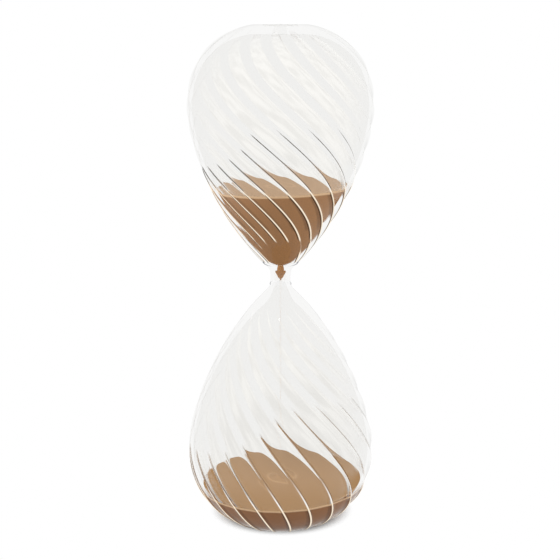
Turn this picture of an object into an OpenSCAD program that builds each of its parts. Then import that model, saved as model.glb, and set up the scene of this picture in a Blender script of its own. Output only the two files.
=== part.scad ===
// Free-standing hourglass: two mould-blown glass bulbs with twisted ribs, joined mouth to mouth
// by a short throat tube that meters the sand, and sealed at the top.
// Units are millimetres. +Z is up and -Y is the front. The origin is the centre of the flat end
// that the glass stands on. Heights named "rise" are measured from the waist of the throat tube.

/* [Upper bulb] */
// Height from the waist to the flat top
upper_rise = 118; // [110:1:126]
// Radius over the rib crests at the belly
upper_belly_r = 43.2; // [39:0.1:47]
// Height of the belly above the waist
upper_belly_rise = 80.4; // [76:0.1:85]

/* [Lower bulb] */
// Height from the flat base to the waist
lower_rise = 122; // [114:1:130]
// Radius over the rib crests at the belly
lower_belly_r = 44.7; // [41:0.1:49]
// Depth of the belly below the waist
lower_belly_rise = 83.3; // [79:0.1:88]

/* [Outline of both bulbs] */
// Radius at which the straight cone leaves the hollow curve of the waist
cone_start_r = 6; // [5.6:0.1:7]
// Distance from the waist to the start of that cone
cone_start_rise = 5.1; // [4:0.1:6]
// Slope of the cone, in degrees from level
cone_angle = 44.3; // [41:0.1:48]
// How long the cone keeps its slope before it rounds towards the belly
cone_pull = 39.8; // [34:0.1:44]
// How long the wall is drawn upright below the belly
belly_pull = 12.4; // [8:0.1:16]
// How full the shoulder is drawn between the belly and the flat end
shoulder_pull = 34.5; // [30:0.1:37]
// Radius of the flat end
end_r = 12; // [10.5:0.1:15]
// How far out the shoulder still lies level with the flat end
end_pull = 1.2; // [0.5:0.1:4]

/* [Glass wall] */
// Thickness of the wall at the bottom of a flute
flute_wall = 1.45; // [1.2:0.05:1.8]
// Thickness of the flat ends
end_wall = 4.6; // [3.6:0.1:5.6]
// Extra thickness that the wall would have at the waist, where the glass was drawn out least
neck_wall = 2.9; // [2:0.1:3.5]
// Rise at which that extra thickness has thinned away
neck_run = 55; // [45:1:65]
// Height over which the lower bulb's mouth opens from its outlet to the wall
lower_mouth_run = 6; // [4:0.1:9]
// Radius of the shallow hollow pressed into each flat end
dimple_r = 8; // [6:0.1:9.5]
// Depth of that hollow
dimple_depth = 0.8; // [0.4:0.1:1.2]

/* [Ribs] */
// Number of ribs round each bulb
rib_count = 21; // [16:1:26]
// Height of a rib crest over the bottom of its flute, at the belly
rib_height = 0.85; // [0.6:0.05:1.4]
// Radius at which the ribs start to rise out of the plain glass of the neck
rib_start_r = 14; // [10:0.5:18]
// Width of the band in which they rise
rib_run_in = 10; // [6:0.5:16]
// Width of the band round a flat end in which the ribs die away
rib_run_out = 10; // [4:0.5:16]
// Turn of the upper ribs near the waist, in degrees per millimetre of height
upper_twist_waist = 1.65; // [1:0.01:2]
// Turn of the upper ribs at the flat top
upper_twist_end = 0.75; // [0:0.01:1.5]
// Turn of the lower ribs near the waist
lower_twist_waist = 2; // [1:0.01:2.4]
// Turn of the lower ribs at the flat base
lower_twist_end = 0.35; // [0:0.01:1.5]
// Angle from the front at which an upper rib would cross the waist
upper_rib_angle = 10.2; // [0:0.1:20]
// Angle from the front at which a lower rib would cross the waist
lower_rib_angle = 5.6; // [0:0.1:20]
// How far the upper ribs wander from even spacing, in degrees
upper_rib_wander = 6.7; // [0:0.1:8]
// Direction of the upper rib that stays in its even place, in degrees round from the first
upper_true_rib = 46; // [-180:1:180]
// How far the lower ribs wander from even spacing
lower_rib_wander = 3.9; // [0:0.1:8]
// Direction of the lower rib that stays in its even place
lower_true_rib = -121; // [-180:1:180]

/* [Throat tube] */
// Outside radius at the waist
waist_r = 4.75; // [4:0.05:5.2]
// Distance from the waist up to the upper weld
upper_joint_rise = 7.2; // [6.4:0.1:8.4]
// Distance from the waist down to the lower weld
lower_joint_rise = 2.7; // [2.4:0.1:3.4]
// Width of each weld along the axis
weld_width = 0.8; // [0.4:0.1:1.2]
// How far each weld stands proud of the glass
weld_proud = 0.1; // [0.05:0.05:0.5]
// Radius of the throat between the upper bulb and the metering chamber
throat_r = 1.2; // [1:0.05:1.4]
// Radius of the metering chamber at its widest
chamber_r = 1.6; // [1.45:0.05:2.1]
// Height of that widest place above the waist
chamber_rise = 3.9; // [3:0.1:5]
// Radius of the orifice that times the sand
orifice_r = 0.6; // [0.5:0.05:0.7]
// Distance of the orifice below the waist
orifice_drop = 1; // [0.6:0.1:1.3]
// Radius of the outlet under the orifice
outlet_r = 2.2; // [1.8:0.1:2.6]

/* [Fill seal] */
// Radius of the hole that the sand was poured in by
fill_hole_r = 3; // [2.5:0.1:4]
// Radius of the button of glass that closes it
seal_cap_r = 5.6; // [5:0.1:6]
// Height of the button over the hollow that it lies in
seal_cap_h = 0.6; // [0.3:0.05:0.75]
// Clearance between the seal's stem and the hole
seal_gap = 0.05; // [0.02:0.01:0.1]

/* [Sand] */
// Height of the sand's top in the upper bulb over the waist, on the axis
upper_sand_rise = 43.7; // [25:0.1:60]
// Tilt of that top, higher on the right, in degrees
upper_sand_tilt = 2.1; // [0:0.1:4]
// Height of the sand's top in the lower bulb over the flat base, on the axis
lower_sand_top = 21.5; // [12:0.1:32]
// Tilt of that top, higher on the right, in degrees
lower_sand_tilt = 1.8; // [0:0.1:4]
// Radius of the heap that forms under the falling sand
heap_r = 7; // [5:0.1:10]
// Height of that heap
heap_h = 2.4; // [1:0.1:4]
// Radius of the falling sand where it leaves the orifice
stream_r = 0.35; // [0.3:0.01:0.38]
// Clearance between the sand and the glass
sand_gap = 0.15; // [0.05:0.05:0.3]

/* [Hidden] */

$fn = 96;
cut = 1;                    // how far a cutting shape runs past the face that it opens
waist_steps = 6;            // rings along the hollow curve of the waist
flank_steps = 19;           // rings along the cone and up to the belly
shoulder_steps = 12;        // rings from the belly to the flat end
rib_points = 4;             // points round the bulb for each rib
rib_hollow = [0.4, 0.75];   // share of the rib height that the round hollow of a flute takes,
                            // before and past the middle of the flute
hollow_power = 3;           // how steeply the hollow rises towards the crest
crest_power = 16;           // how steeply the crest rises out of the hollow
smooth_steps = 18;          // points along each curve of a turned shape
mouth_steps = 8;            // points along the opening out of a bulb's mouth
mouth_angle = 53;           // slope at which a bulb's bore leaves its mouth, from level
front = -90;                // direction of the front, in degrees from +X
right_hand = 1;
left_hand = -1;
early_fade = 1;             // the twist slackens evenly from the waist on
late_fade = 4;              // the twist holds, and slackens only near the flat end

glass_colour = [0.9, 0.93, 0.92, 0.45];
weld_colour = [0.78, 0.82, 0.82, 0.7];
sand_colour = [0.62, 0.49, 0.38];
sand_top_colour = [0.76, 0.66, 0.56];

waist_z = lower_rise;
crest_wall = flute_wall + rib_height;

// A bulb is described by [rise, belly radius, belly rise].
upper_bulb_size = [upper_rise, upper_belly_r, upper_belly_rise];
lower_bulb_size = [lower_rise, lower_belly_r, lower_belly_rise];

// A bulb's mouth by [rise, bore radius, height over which the bore opens to the wall]. The upper
// bulb is a plain funnel from its mouth on.
upper_mouth = [upper_joint_rise + weld_width / 2, throat_r, 0];
lower_mouth = [lower_joint_rise + weld_width / 2, outlet_r, lower_mouth_run];

tube_top_rise = upper_joint_rise - weld_width / 2;
tube_bottom_rise = lower_joint_rise - weld_width / 2;

// Points [radius, rise] along a cubic curve.
function bezier(p, steps) = [
  for (i = [0 : steps])
    let (t = i / steps, u = 1 - t)
      u * u * u * p[0] + 3 * u * u * t * p[1] + 3 * u * t * t * p[2] + t * t * t * p[3]
];

cone_dir = [cos(cone_angle), sin(cone_angle)];
mouth_dir = [cos(mouth_angle), sin(mouth_angle)];
cone_start = [cone_start_r, cone_start_rise];

// Outside of a bulb over the rib crests, from the waist to the flat end.
function waist_curve(steps) = bezier([
  [waist_r, 0],
  [waist_r, cone_start_rise / 2],
  cone_start - cone_dir * cone_start_rise / 4,
  cone_start
], steps);

function flank_curve(size, steps) = bezier([
  cone_start,
  cone_start + cone_dir * cone_pull,
  [size[1], size[2] - belly_pull],
  [size[1], size[2]]
], steps);

function shoulder_curve(size, steps) = bezier([
  [size[1], size[2]],
  [size[1], size[2] + shoulder_pull],
  [end_r + end_pull, size[0]],
  [end_r, size[0]]
], steps);

function outside(size) = concat(
  waist_curve(waist_steps),
  flank_curve(size, flank_steps),
  shoulder_curve(size, shoulder_steps)
);

// Outside radius at a given rise, near the waist.
function outside_r(size, rise) = lookup(rise, [
  for (p = concat(waist_curve(smooth_steps), flank_curve(size, 4 * smooth_steps))) [p[1], p[0]]
]);

// The same outline from a bulb's mouth onwards, without the points that lie closer to the mouth
// than the width of a weld.
function outside_from(size, mouth) = concat(
  [[outside_r(size, mouth), mouth]],
  [for (p = outside(size)) if (p[1] > mouth + weld_width) p]
);

// Inward direction across the outline at point i.
function inward(path, i) =
  let (d = path[min(i + 1, len(path) - 1)] - path[max(i - 1, 0)]) [-d[1], d[0]] / norm(d);

// Wall thickness over the rib crests at point i of the flank and shoulder, which lies at a given
// rise: thickest at the neck, even round the belly, and changing to the thickness of the flat end
// round the shoulder.
function wall_at(i, rise) =
  crest_wall
  + neck_wall * pow(max(0, 1 - rise / neck_run), 2)
  + (end_wall - crest_wall) * max(0, i - smooth_steps) / smooth_steps;

// Inside of a bulb, from the bore at its mouth to the inner face of its flat end. The inset draws
// the outline of a filling that clears the wall.
function inside(size, mouth, inset) =
  let (flank = flank_curve(size, smooth_steps),
       shoulder = shoulder_curve(size, smooth_steps),
       path = concat(flank, [for (i = [1 : smooth_steps]) shoulder[i]]),
       wall = [
         for (i = [0 : len(path) - 1])
           if (path[i][1] > mouth[0] + mouth[2])
             path[i] + inward(path, i) * (wall_at(i, path[i][1]) + inset)
       ],
       start = [mouth[1] - inset, mouth[0]],
       pull = norm(wall[0] - start) / 3)
    concat(
      bezier([start, start + pull * mouth_dir, wall[0] - pull * cone_dir, wall[0]], mouth_steps),
      [for (i = [1 : len(wall) - 2]) wall[i]],
      [[end_r, size[0] - end_wall - inset]]
    );

// Degrees that a rib has turned by at a given rise: fast near the waist, where the soft glass was
// wound up, and slower towards the flat end. fade is early_fade or late_fade.
function turn(rise, full_rise, at_waist, at_end, fade) =
  at_waist * rise - (at_waist - at_end) * full_rise * pow(rise / full_rise, fade + 1) / (fade + 1);

function smooth_step(x) = let (c = max(0, min(1, x))) c * c * (3 - 2 * c);

// How deep the flutes are at one point of the outline: shallow where the glass is narrow, and
// none on the neck and on the flat end.
function flute_depth(p, size) =
  rib_height * p[0] / size[1]
  * smooth_step((p[0] - rib_start_r) / rib_run_in)
  * (p[1] > size[2] ? smooth_step((p[0] - end_r) / rib_run_out) : 1);

// Share of that depth across one flute, from 1 along its middle to 0 on the crests, where u is -1
// and 1. The winding has leant the crests over, so the two sides of a flute differ.
function flute_share(u) =
  let (side = u < 0 ? 0 : 1)
    1 - rib_hollow[side] * pow(abs(u), hollow_power) - (1 - rib_hollow[side]) * pow(abs(u), crest_power);

// Angle round the bulb of a place that even spacing would put at a given angle. wander is
// [how far the ribs wander, direction of the rib that stays].
function wandered(angle, wander) = angle + wander[0] * (1 - cos(angle - wander[1]));

// Solid bulb with twisted ribs, standing on its mouth. hand is right_hand where the ribs turn to
// the right as they rise, and left_hand where they turn to the left.
module ribbed_solid(size, mouth, hand, rib_angle, wander, at_waist, at_end, fade) {
  path = outside_from(size, mouth[0]);
  rings = len(path);
  columns = rib_count * rib_points;
  points = [
    for (i = [0 : rings - 1])
      let (p = path[i],
           depth = flute_depth(p, size),
           across = inward(path, i),
           start = front + rib_angle + hand * turn(p[1], size[0], at_waist, at_end, fade))
        for (j = [0 : columns - 1])
          let (u = 2 * (j % rib_points) / rib_points - 1,
               q = p + across * depth * flute_share(u),
               a = start + wandered(360 * j / columns, wander))
            [q[0] * cos(a), q[0] * sin(a), q[1]]
  ];
  sides = [
    for (i = [0 : rings - 2], j = [0 : columns - 1])
      let (k = (j + 1) % columns,
           a = i * columns + j,
           b = i * columns + k,
           c = (i + 1) * columns + k,
           d = (i + 1) * columns + j)
        each (hand < 0 ? [[a, d, c], [a, c, b]] : [[a, d, b], [b, d, c]])
  ];
  mouth_face = [for (j = [0 : columns - 1]) j];
  end_face = [for (j = [columns - 1 : -1 : 0]) (rings - 1) * columns + j];
  polyhedron(points, concat(sides, [mouth_face, end_face]), convexity = 4);
}

// Hollow of a bulb, run out past its mouth.
module hollow(size, mouth) {
  past = mouth[0] - cut;
  rotate_extrude()
    polygon(concat([[0, past], [mouth[1], past]], inside(size, mouth, 0), [[0, size[0] - end_wall]]));
}

// Shape of sand that would fill a bulb and clear its wall.
module filling(size, mouth) {
  outline = inside(size, mouth, sand_gap);
  rotate_extrude()
    polygon(concat([[0, mouth[0]]], outline, [[0, size[0] - end_wall - sand_gap]]));
}

// Shallow hollow pressed into a flat end.
module dimple(size) {
  translate([0, 0, size[0] - dimple_depth]) cylinder(h = dimple_depth + cut, r = dimple_r);
}

// Ring of glass where two pieces were melted together. It fills the space between their faces.
module weld(size, joint, bore_r) {
  near = joint - weld_width / 2;
  far = joint + weld_width / 2;
  bead = [
    for (a = [0 : 30 : 180])
      let (rise = joint - cos(a) * weld_width / 2) [outside_r(size, rise) + weld_proud * sin(a), rise]
  ];
  rotate_extrude() polygon(concat([[bore_r, near]], bead, [[bore_r, far]]));
}

module lower_bulb() {
  color(glass_colour)
    translate([0, 0, waist_z]) mirror([0, 0, 1])
      difference() {
        ribbed_solid(lower_bulb_size, lower_mouth, right_hand, lower_rib_angle,
                     [lower_rib_wander, lower_true_rib],
                     lower_twist_waist, lower_twist_end, early_fade);
        hollow(lower_bulb_size, lower_mouth);
        dimple(lower_bulb_size);
      }
}

module upper_bulb() {
  color(glass_colour)
    translate([0, 0, waist_z])
      difference() {
        ribbed_solid(upper_bulb_size, upper_mouth, left_hand, upper_rib_angle,
                     [upper_rib_wander, upper_true_rib],
                     upper_twist_waist, upper_twist_end, late_fade);
        hollow(upper_bulb_size, upper_mouth);
        dimple(upper_bulb_size);
        translate([0, 0, upper_rise - end_wall - cut])
          cylinder(h = end_wall + 2 * cut, r = fill_hole_r);
      }
}

// Inside of the throat tube, from its top face to its bottom face.
function tube_bore(inset) = [
  [throat_r - inset, tube_top_rise],
  [chamber_r - inset, chamber_rise],
  [orifice_r - inset, -orifice_drop]
];

module throat_tube() {
  above = [for (p = waist_curve(smooth_steps)) if (p[1] < tube_top_rise) p];
  below = [for (p = waist_curve(smooth_steps)) if (p[1] > 0 && p[1] < tube_bottom_rise) [p[0], -p[1]]];
  color(glass_colour)
    translate([0, 0, waist_z])
      rotate_extrude()
        polygon(concat(
          tube_bore(0),
          [[orifice_r, -orifice_drop - orifice_r / 2], [outlet_r, -tube_bottom_rise]],
          [[outside_r(lower_bulb_size, tube_bottom_rise), -tube_bottom_rise]],
          [for (i = [len(below) - 1 : -1 : 0]) below[i]],
          above,
          [[outside_r(upper_bulb_size, tube_top_rise), tube_top_rise]]
        ));
}

module lower_weld() {
  color(weld_colour)
    translate([0, 0, waist_z]) mirror([0, 0, 1]) weld(lower_bulb_size, lower_joint_rise, outlet_r);
}

module upper_weld() {
  color(weld_colour)
    translate([0, 0, waist_z]) weld(upper_bulb_size, upper_joint_rise, throat_r);
}

// Button of glass in the top hollow, with a stem that plugs the hole the sand was poured in by.
module fill_seal() {
  stem_r = fill_hole_r - seal_gap;
  stem_h = end_wall - dimple_depth;
  cap = [for (a = [0 : 15 : 90]) [seal_cap_r * cos(a), stem_h + seal_cap_h * sin(a)]];
  color(weld_colour)
    translate([0, 0, waist_z + upper_rise - end_wall])
      rotate_extrude()
        polygon(concat([[0, 0], [stem_r, 0], [stem_r, stem_h]], cap));
}

module upper_sand() {
  color(sand_colour)
    translate([0, 0, waist_z])
      difference() {
        filling(upper_bulb_size, upper_mouth);
        translate([0, 0, upper_sand_rise]) rotate([0, -upper_sand_tilt, 0])
          translate([-2 * upper_belly_r, -2 * upper_belly_r, 0])
            cube([4 * upper_belly_r, 4 * upper_belly_r, upper_rise]);
      }
}

// Sand waiting in the metering chamber.
module chamber_sand() {
  bore = tube_bore(sand_gap);
  color(sand_colour)
    translate([0, 0, waist_z])
      rotate_extrude()
        polygon(concat(
          [[0, upper_mouth[0] - sand_gap], [throat_r - sand_gap, upper_mouth[0] - sand_gap]],
          bore,
          [[0, -orifice_drop]]
        ));
}

module falling_sand() {
  top = waist_z - orifice_drop - sand_gap;
  bottom = lower_sand_top + heap_h + sand_gap;
  color(sand_top_colour)
    translate([0, 0, bottom]) cylinder(h = top - bottom, r1 = stream_r / 2, r2 = stream_r);
}

module lower_sand() {
  level = lower_rise - lower_sand_top;
  color(sand_top_colour)
    translate([0, 0, waist_z]) mirror([0, 0, 1]) {
      difference() {
        filling(lower_bulb_size, lower_mouth);
        translate([0, 0, level]) rotate([0, lower_sand_tilt, 0])
          translate([-2 * lower_belly_r, -2 * lower_belly_r, -lower_rise])
            cube([4 * lower_belly_r, 4 * lower_belly_r, lower_rise]);
      }
      translate([0, 0, level]) rotate([0, lower_sand_tilt, 0])
        translate([0, 0, -heap_h]) cylinder(h = heap_h, r1 = 0, r2 = heap_r);
    }
}

lower_bulb();
upper_bulb();
throat_tube();
lower_weld();
upper_weld();
fill_seal();
upper_sand();
chamber_sand();
falling_sand();
lower_sand();
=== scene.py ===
# %% [markdown]
# # A glass hourglass with twisted ribs
# The hourglass is two blown glass bulbs, joined mouth to mouth by a short throat tube, with sand
# running from the upper bulb to the lower. The solid model already holds every piece at its real
# size, so this lesson dresses those pieces: clear glass whose ribs bend what is behind them, and
# fine warm sand. It starts by loading the solid model as a fixed frame.

# %% Load the solid model
import math

import bpy
import numpy as np
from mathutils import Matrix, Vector


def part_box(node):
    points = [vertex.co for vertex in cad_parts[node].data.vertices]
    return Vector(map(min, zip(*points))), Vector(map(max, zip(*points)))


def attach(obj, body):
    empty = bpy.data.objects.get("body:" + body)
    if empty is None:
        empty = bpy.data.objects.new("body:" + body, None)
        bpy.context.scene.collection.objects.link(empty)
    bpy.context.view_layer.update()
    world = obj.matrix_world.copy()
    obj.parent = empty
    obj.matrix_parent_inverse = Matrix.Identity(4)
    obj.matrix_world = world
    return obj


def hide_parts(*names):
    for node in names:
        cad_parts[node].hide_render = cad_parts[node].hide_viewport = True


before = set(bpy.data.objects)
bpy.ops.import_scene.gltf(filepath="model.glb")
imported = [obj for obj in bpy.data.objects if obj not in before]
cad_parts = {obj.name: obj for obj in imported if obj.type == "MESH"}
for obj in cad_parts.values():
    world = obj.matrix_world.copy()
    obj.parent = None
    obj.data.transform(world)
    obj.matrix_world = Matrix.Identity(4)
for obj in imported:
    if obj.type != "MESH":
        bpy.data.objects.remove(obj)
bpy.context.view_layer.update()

# %% [markdown]
# ## Sizes
# Every size is in metres and has the same name and value as in the solid model. A "rise" is a
# distance from the waist of the throat, upwards for the upper bulb and downwards for the lower
# one, so one set of curves can draw both bulbs.

# %% Sizes of the outline
MM = 0.001
base_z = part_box("lower_bulb")[0].z
top_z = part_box("upper_bulb")[1].z
lower_rise = 122 * MM
upper_rise = 118 * MM
waist_z = base_z + lower_rise

waist_r = 4.75 * MM
cone_start = np.array([6.0, 5.1]) * MM
cone_angle = math.radians(44.3)
cone_pull = 39.8 * MM
belly_pull = 12.4 * MM
shoulder_pull = 34.5 * MM
end_r = 12 * MM
end_pull = 1.2 * MM
print("height of the glass:", round((top_z - base_z) / MM, 2), "mm")

# %% Sizes of the walls, the ends and the joints
flute_wall = 1.45 * MM
rib_height = 0.85 * MM
crest_wall = flute_wall + rib_height
end_wall = 4.6 * MM
neck_wall = 2.9 * MM
neck_run = 55 * MM
dimple_r = 8 * MM
dimple_depth = 0.8 * MM
fill_hole_r = 3 * MM

upper_joint = 7.2 * MM
lower_joint = 2.7 * MM
weld_width = 0.8 * MM
weld_proud = 0.1 * MM
throat_r = 1.2 * MM
outlet_r = 2.2 * MM
print("wall under a crest:", round(crest_wall / MM, 2), "mm")

# %% [markdown]
# ## Turned outlines
# A glassblower's bulb is a turned shape, so its outline is a few curves of radius against rise.
# Cubic curves with named handles draw the hollow waist, the straight cone, the belly and the
# shoulder. They could be splines drawn by hand, but named handles keep the two bulbs alike.

# %% Curves and paths
def bezier(points, steps):
    """Points along a cubic curve with four control points."""
    t = np.linspace(0, 1, steps + 1)[:, None]
    p = [np.asarray(q, float) for q in points]
    u = 1 - t
    return u**3 * p[0] + 3 * u * u * t * p[1] + 3 * u * t * t * p[2] + t**3 * p[3]


def join(*parts):
    """One path from several that meet end to end, without the doubled points."""
    path = [parts[0]]
    for part in parts[1:]:
        path.append(part[1:] if np.allclose(part[0], path[-1][-1]) else part)
    return np.vstack(path)


def spaced(path, count):
    """The same path with points at even distances along it."""
    along = np.r_[0, np.cumsum(np.hypot(*np.diff(path, axis=0).T))]
    at = np.linspace(0, along[-1], count)
    return np.stack([np.interp(at, along, path[:, k]) for k in (0, 1)], 1)


def inward(path):
    """Unit directions across a path, towards its left-hand side."""
    d = np.gradient(path, axis=0)
    d /= np.hypot(d[:, 0], d[:, 1])[:, None]
    return np.stack([-d[:, 1], d[:, 0]], 1)


print("a spaced path:", spaced(np.array([[0, 0], [3, 4.0]]), 3).tolist())

# %% Waist, flank and shoulder
outline_steps = 400
cone_dir = np.array([math.cos(cone_angle), math.sin(cone_angle)])
waist_handles = [(waist_r, cone_start[1] / 2), cone_start - cone_dir * cone_start[1] / 4]
waist_curve = bezier([(waist_r, 0), *waist_handles, cone_start], 60)


def flank(bulb):
    """From the start of the cone to the belly."""
    belly = np.array([bulb.belly_r, bulb.belly_rise])
    handles = [cone_start + cone_dir * cone_pull, belly - [0, belly_pull]]
    return bezier([cone_start, *handles, belly], outline_steps)


def shoulder(bulb):
    """From the belly to the rim of the flat end."""
    belly = np.array([bulb.belly_r, bulb.belly_rise])
    handles = [belly + [0, shoulder_pull], (end_r + end_pull, bulb.rise)]
    return bezier([belly, *handles, (end_r, bulb.rise)], outline_steps)


print("the waist swells from", waist_curve[0, 0] / MM, "to", waist_curve[-1, 0] / MM, "mm in radius")

# %% [markdown]
# ## The two bulbs
# The bulbs are the same shape, but the ribs of each were wound up separately while the glass was
# soft, so each bulb has its own twist. Both wind the same way round when the glass stands up. The
# ribs are not spaced quite evenly: they wander a little from their places, and only the rib at one
# angle stands where even spacing puts it. One class with both sets of sizes keeps this in one place.

# %% Describe the bulbs
class Bulb:
    """The sizes of one bulb, and where its ribs have turned to."""

    def __init__(self, **sizes):
        self.__dict__.update(sizes)

    def turn(self, rise):
        """Angle that a rib has turned by at a given rise, in radians. The twist, in degrees for each
        millimetre, fades from its near value at the waist to its far value at the flat end."""
        near, far = self.twist
        faded = (rise / self.rise) ** (self.fade + 1) / (self.fade + 1) * (self.rise / MM)
        degrees = near * rise / MM - (near - far) * faded
        return math.radians(self.rib_angle) - math.pi / 2 + self.hand * np.radians(degrees)

    def height(self, rise):
        return waist_z + self.up * rise

    def wandered(self, angle):
        """Angle of a place that even spacing of the ribs would put at a given angle."""
        return angle + self.wander * (1 - np.cos(angle - self.true_rib))


upper = Bulb(
    name="upper_bulb", up=1, rise=upper_rise, belly_r=43.2 * MM, belly_rise=80.4 * MM,
    mouth=upper_joint + weld_width / 2, bore=throat_r, mouth_run=0,
    hand=-1, twist=(1.65, 0.75), fade=4, rib_angle=10.2,
    wander=math.radians(6.7), true_rib=math.radians(46))
lower = Bulb(
    name="lower_bulb", up=-1, rise=lower_rise, belly_r=44.7 * MM, belly_rise=83.3 * MM,
    mouth=lower_joint + weld_width / 2, bore=outlet_r, mouth_run=6 * MM,
    hand=1, twist=(2.0, 0.35), fade=1, rib_angle=5.6,
    wander=math.radians(3.9), true_rib=math.radians(-121))
for bulb in (upper, lower):
    turned_by = math.degrees(abs(bulb.turn(bulb.rise) - bulb.turn(bulb.mouth)))
    print(bulb.name, "turns its ribs by", round(turned_by), "degrees")

# %% [markdown]
# ## Meshes from rings
# Every glass piece is one closed skin: an outside, an inside and the rims that join them. The skin
# is a row of rings of points, from one end to the other. A ring of one point closes the skin in a
# fan, and a fine ring may meet a coarse one on a flat rim. So the ribbed outside can carry many
# points and the smooth inside few. A modifier could turn a profile, but it couldn't twist the ribs.

# %% Faces between rings
def band(first, fine, other, coarse):
    """Faces between two rings. The first ring has as many points as the second, or a multiple."""
    step = fine // coarse
    faces = []
    for j in range(coarse):
        edge = [first + (j * step + n) % fine for n in range(step + 1)]
        if coarse == 1:
            faces += [(edge[n], edge[(n + 1) % fine], other) for n in range(fine)]
        else:
            faces.append((*edge, other + (j + 1) % coarse, other + j))
    return faces


def signed_volume(points, faces):
    """Volume inside a closed mesh, negative when its faces point inwards."""
    total = 0.0
    for size in {len(face) for face in faces}:
        corners = points[np.array([face for face in faces if len(face) == size])]
        for n in range(1, size - 1):
            total += np.einsum("ij,ij->", corners[:, 0], np.cross(corners[:, n], corners[:, n + 1])) / 6
    return total


print("a ring of 8 points meets one of 4 in", len(band(0, 8, 8, 4)), "faces")

# %% A closed piece
sharp_edge = math.radians(40)


def link_mesh(name, points, faces):
    """A new mesh object in the scene."""
    mesh = bpy.data.meshes.new(name)
    mesh.from_pydata(points.tolist(), [], faces)
    mesh.shade_smooth()
    piece = bpy.data.objects.new(name, mesh)
    bpy.context.collection.objects.link(piece)
    return piece


def new_piece(name, rings, loop=False, fused=()):
    """A smooth mesh object from a list of rings, each an array of points. A loop also joins the
    last ring to the first. Bands that start at a ring in fused take the second material."""
    fused = {n % len(rings) for n in fused}
    counts = [len(ring) for ring in rings]
    starts = np.r_[0, np.cumsum(counts)].tolist()
    points = np.vstack(rings)
    faces, slots = [], []
    for a in range(len(rings) if loop else len(rings) - 1):
        b = (a + 1) % len(rings)
        if counts[a] >= counts[b]:
            faces += band(starts[a], counts[a], starts[b], counts[b])
        else:
            faces += [face[::-1] for face in band(starts[b], counts[b], starts[a], counts[a])]
        slots += [int(a in fused)] * (len(faces) - len(slots))
    if signed_volume(points, faces) < 0:
        faces = [face[::-1] for face in faces]
    piece = link_mesh(name, points, faces)
    piece.data.polygons.foreach_set("material_index", slots)
    piece.data.set_sharp_from_angle(angle=sharp_edge)
    print(name, "has", len(faces), "faces")
    return piece


def ring(radius, height, angles):
    """Points of a level ring. The radius and the height are numbers or one value for each angle."""
    shape = np.ones_like(angles)
    return np.stack([radius * np.cos(angles), radius * np.sin(angles), height * shape], 1)


def turned(name, path, columns, up=1, loop=False, fused=()):
    """A plain turned piece from a path of (radius, rise)."""
    angles = np.linspace(0, 2 * np.pi, columns, endpoint=False)
    rings = [ring(r, waist_z + up * rise, angles if r > 1e-9 else angles[:1]) for r, rise in path]
    return new_piece(name, rings, loop, fused)


def dress(piece, node):
    """Put a piece in the place of the solid model's node, on the body that never moves."""
    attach(piece, "root")
    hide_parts(node)
    return piece


# %% [markdown]
# ## Ribs
# The bulb was blown into a fluted mould, then twisted. Between two ribs the glass is a shallow
# flute, thinnest along its middle, and the flutes meet in a crest that the flame has softened. So
# the wall is thin in the flute and rises ever more steeply to the crest. This shape matters more
# than anything else here: each flute is a weak lens that makes what is behind it look smaller, and
# each crest is a narrow prism that shows as a line. The flute is rounder on one side of a crest
# than on the other, because the twist drags it over.

# %% Section of one rib
rib_count = 21
rib_points = 28
rib_crowding = 1.6
rib_hollow = (0.4, 0.75)
hollow_power = 3
crest_power = 16
crest_softness = 0.03


def rib_section():
    """Places across one rib pitch, from crest to crest, and the share of the rib height there. The
    places crowd together near the crests, where the glass curves most."""
    even = np.linspace(-1, 1, rib_points, endpoint=False)
    from_crest = (1 - np.abs(even)) ** rib_crowding
    round_off = np.sqrt(from_crest**2 + crest_softness**2) - crest_softness
    soft = round_off / (math.sqrt(1 + crest_softness**2) - crest_softness)
    hollow = np.where(even < 0, *rib_hollow)
    share = hollow * (1 - soft) ** hollow_power + (1 - hollow) * (1 - soft) ** crest_power
    return np.sign(even) * (1 - from_crest), share


across, crest_share = rib_section()
rib_pitch = 2 * np.pi / rib_count
rib_columns = (np.arange(rib_count)[:, None] * rib_pitch + (across + 1)[None] * rib_pitch / 2).ravel()
print("rib pitch at the belly:", round(rib_pitch * upper.belly_r / MM, 1), "mm")

# %% Depth of the flutes along the bulb
rib_start_r = 14 * MM
rib_run_in = 10 * MM
rib_run_out = 10 * MM


def smooth_step(x):
    x = np.clip(x, 0, 1)
    return x * x * (3 - 2 * x)


def flute_depth(bulb, path):
    """Depth of the flutes at each point of the outline. They run out towards the mouth and towards
    the flat end, where the blower's tools smoothed the glass."""
    r, s = path[:, 0], path[:, 1]
    depth = rib_height * r / bulb.belly_r * smooth_step((r - rib_start_r) / rib_run_in)
    return depth * np.where(s > bulb.belly_rise, smooth_step((r - end_r) / rib_run_out), 1)


print("flutes at the belly:", round(flute_depth(upper, flank(upper))[-1] / MM, 2), "mm deep")

# %% [markdown]
# ## Walls of the bulbs
# The inside is smooth: the mould shapes only the outside. It follows the outside at the thickness
# of the wall, and the glass is thicker at the mouth, where least of it was drawn out. A solidify
# modifier would give one thickness everywhere and copy the ribs to the inside, so the inside is its
# own curve.

# %% Inside outline
mouth_dir = np.array([0.6, 0.8])


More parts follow.
